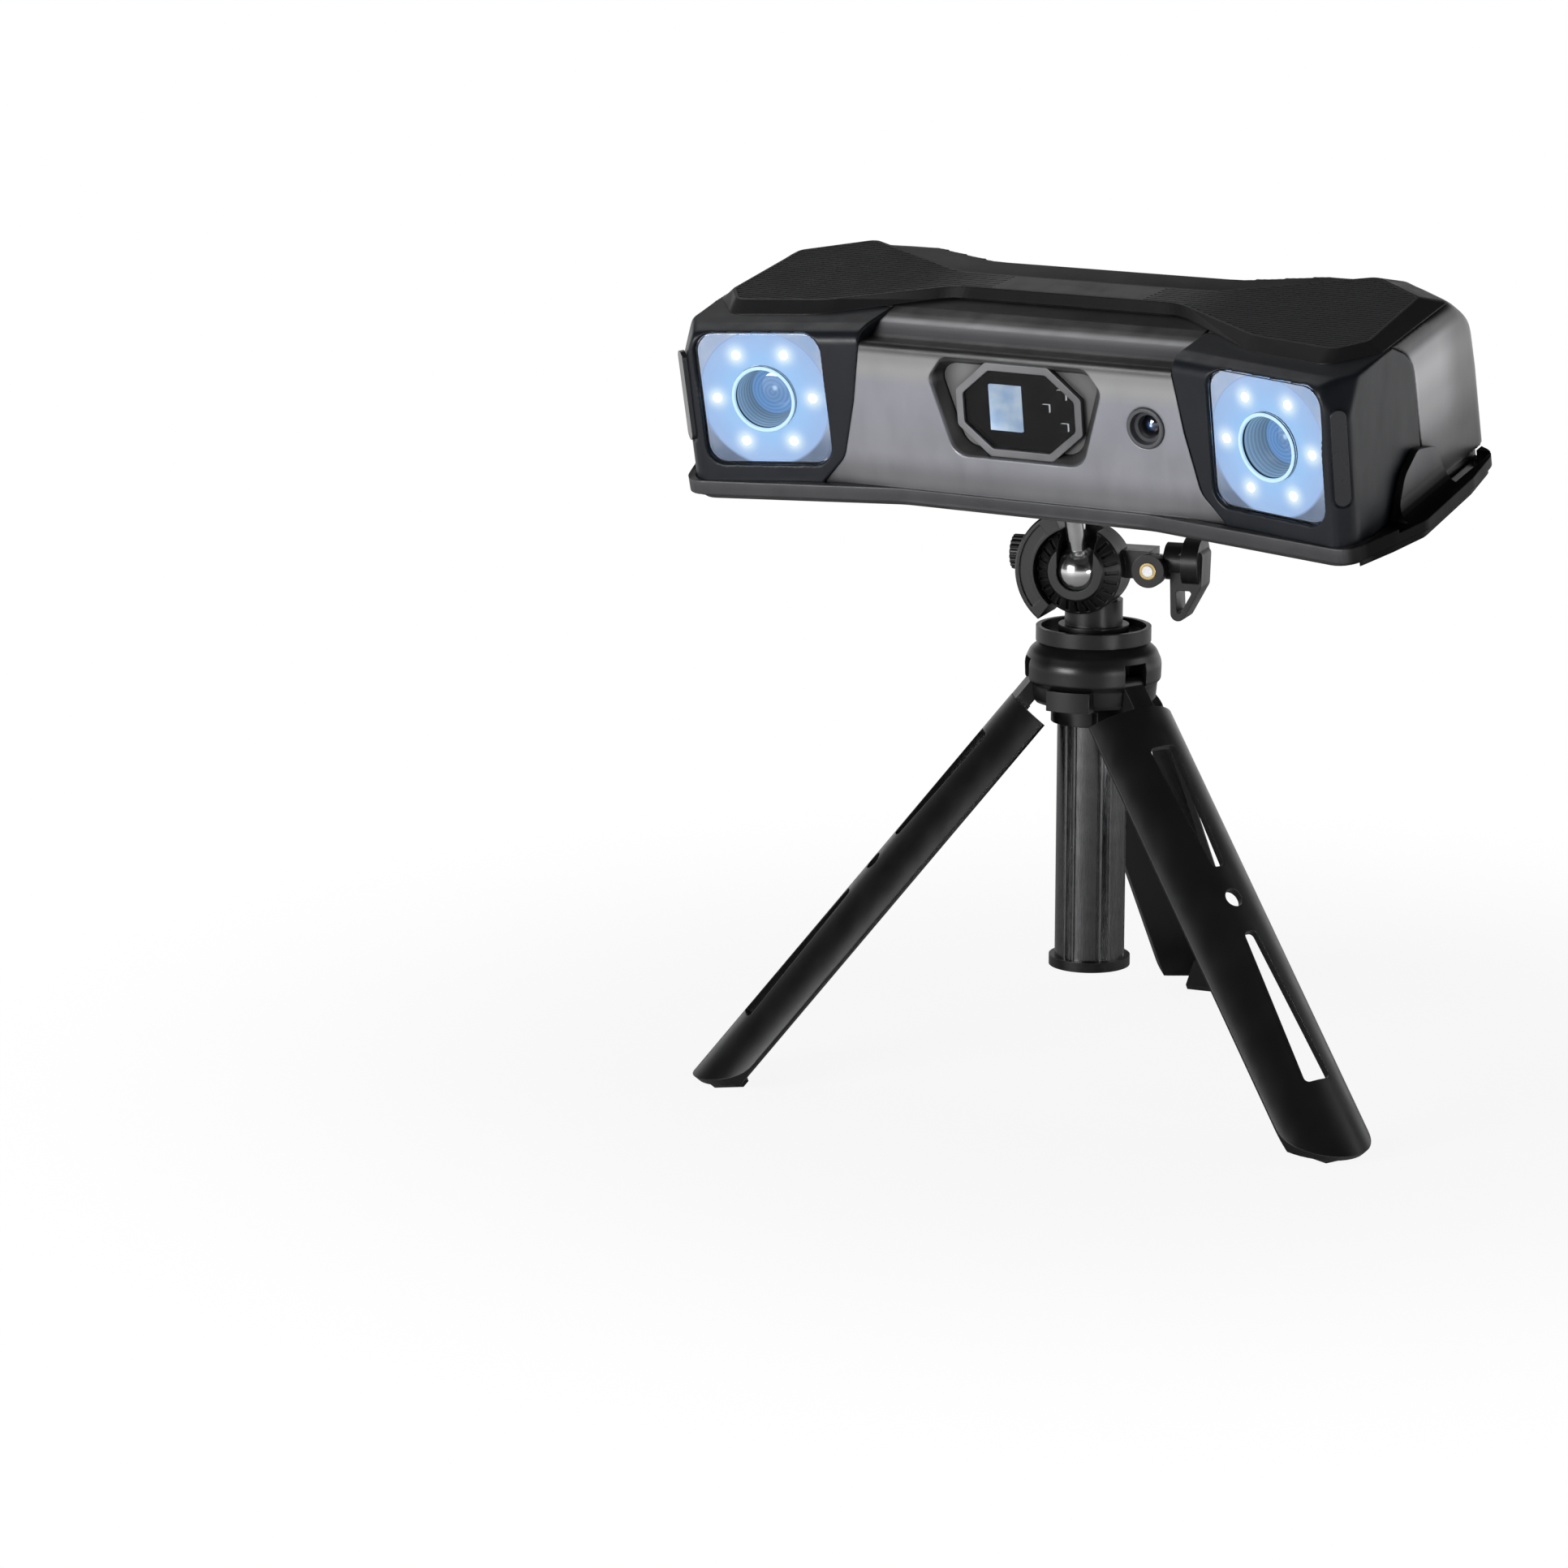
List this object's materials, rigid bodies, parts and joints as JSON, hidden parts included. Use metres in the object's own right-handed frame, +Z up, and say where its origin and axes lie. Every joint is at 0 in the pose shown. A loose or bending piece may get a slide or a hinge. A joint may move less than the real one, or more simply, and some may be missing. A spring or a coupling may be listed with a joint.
{
  "type": "handheld three-d scanner on a mini tripod",
  "caption": "Wide handheld three-d scanner with lit stereo camera windows and a central projector, on a ball head and a folding mini tripod with a lifting column.",
  "frame": {"origin": "middle of the footprint's bounding box on the floor plane, under the feet", "axes": "+Z up, +X along the scanner's length towards its colour camera, -Y towards the lens side"},
  "size_m": [0.3238, 0.2675, 0.3281],
  "materials": {
    "grey_shell": "fine metallic grey moulding",
    "panel_black": "satin near-black moulding",
    "cover_charcoal": "fine-grained charcoal moulding",
    "grip_rubber": "ribbed soft-touch",
    "window_clear": "clear, lit pale blue-white from behind",
    "lamp_white": "white reflector board",
    "lamp_lens": "lit white",
    "lens_black": "matt black anodised look",
    "lens_glass": "coated",
    "strip_black": "gloss",
    "bezel_grey": "dark grey moulding",
    "window_dark": "dark tinted",
    "frame_alloy": "machined",
    "board_green": "solder mask",
    "bright_steel": "bright",
    "ball_chrome": "polished",
    "screw_black": "black oxide",
    "brass": "turned",
    "tripod_black": "textured black moulding",
    "foot_rubber": "matt"
  },
  "bodies": {
    "hub": {"hub": "tripod_black", "hub_collar": "tripod_black", "leg_pins": "bright_steel", "latch_spring": "bright_steel"},
    "latch": {"latch": "tripod_black"},
    "column": {"column": "tripod_black", "column_cap": "tripod_black", "top_dish": "tripod_black", "head_stud": "bright_steel"},
    "head": {"head_body": "tripod_black", "ball_ring": "tripod_black", "clamp_arm": "tripod_black", "clamp_bolt": "bright_steel", "cross_pin": "bright_steel", "pin_bush": "brass"},
    "clamp_knob": {"clamp_knob": "tripod_black"},
    "clamp_lever": {"clamp_lever": "tripod_black"},
    "ball": {"ball_stem": "ball_chrome", "platform_pad": "foot_rubber", "camera_screw": "bright_steel"},
    "leg_rear": {"leg_rear": "tripod_black", "foot_rear": "foot_rubber"},
    "leg_left": {"leg_left": "tripod_black", "foot_left": "foot_rubber"},
    "leg_right": {"leg_right": "tripod_black", "foot_right": "foot_rubber"},
    "scanner": {"front_fascia": "grey_shell", "rear_shell": "grey_shell", "top_cover": "cover_charcoal", "top_grip": "grip_rubber", "projector_bezel": "bezel_grey", "projector_window": "window_dark", "projector_module": "lens_black", "projector_lens": "lens_glass", "range_sensors": "lens_black", "colour_camera_ring": "lens_black", "colour_camera_lens": "lens_glass", "optical_frame": "frame_alloy", "main_board": "board_green", "usb_socket": "bright_steel", "base_screws": "screw_black", "mount_bush": "brass", "camera_panel_left": "panel_black", "window_left": "window_clear", "lamp_board_left": "lamp_white", "lamps_left": "lamp_lens", "lens_barrel_left": "lens_black", "camera_lens_left": "lens_glass", "light_strip_left": "strip_black", "camera_panel_right": "panel_black", "window_right": "window_clear", "lamp_board_right": "lamp_white", "lamps_right": "lamp_lens", "lens_barrel_right": "lens_black", "camera_lens_right": "lens_glass", "light_strip_right": "strip_black"}
  },
  "joints": [
    {"name": "leg_rear_fold", "type": "hinge", "parent": "hub", "child": "leg_rear", "pos_m": [-0.00382, -0.00072, 0.163], "axis": [-0.9848, -0.1736, 0], "range_deg": [0, 40]},
    {"name": "leg_left_fold", "type": "hinge", "parent": "hub", "child": "leg_left", "pos_m": [-0.01685, -0.03653, 0.163], "axis": [0.6428, -0.766, 0], "range_deg": [0, 40]},
    {"name": "leg_right_fold", "type": "hinge", "parent": "hub", "child": "leg_right", "pos_m": [0.02067, -0.02991, 0.163], "axis": [0.342, 0.9397, 0], "range_deg": [0, 40]},
    {"name": "latch_press", "type": "slide", "parent": "hub", "child": "latch", "axis": [-0.1736, 0.9848, 0], "range_m": [0, 0.002], "stiffness_N_per_m": 400, "springref_m": -0.0005},
    {"name": "column_lift", "type": "slide", "parent": "hub", "child": "column", "axis": [0, 0, 1], "range_m": [0, 0.0955]},
    {"name": "head_pan", "type": "hinge", "parent": "column", "child": "head", "pos_m": [0, -0.02239, 0.184], "axis": [0, 0, 1], "continuous": true},
    {"name": "ball_tilt", "type": "hinge", "parent": "head", "child": "ball", "pos_m": [0, -0.03289, 0.208], "axis": [0.9703, 0.2419, 0], "range_deg": [-14.5, 45]},
    {"name": "scanner_swivel", "type": "hinge", "parent": "ball", "child": "scanner", "pos_m": [0, -0.03289, 0.208], "axis": [0, -0.2504, 0.9681], "continuous": true},
    {"name": "clamp_lever_turn", "type": "hinge", "parent": "head", "child": "clamp_lever", "pos_m": [-0.00339, -0.0193, 0.211], "axis": [0.9703, 0.2419, 0], "range_deg": [-90, 90]},
    {"name": "clamp_knob_turn", "type": "hinge", "parent": "head", "child": "clamp_knob", "pos_m": [-0.00339, -0.0193, 0.211], "axis": [0.9703, 0.2419, 0], "continuous": true}
  ]
}
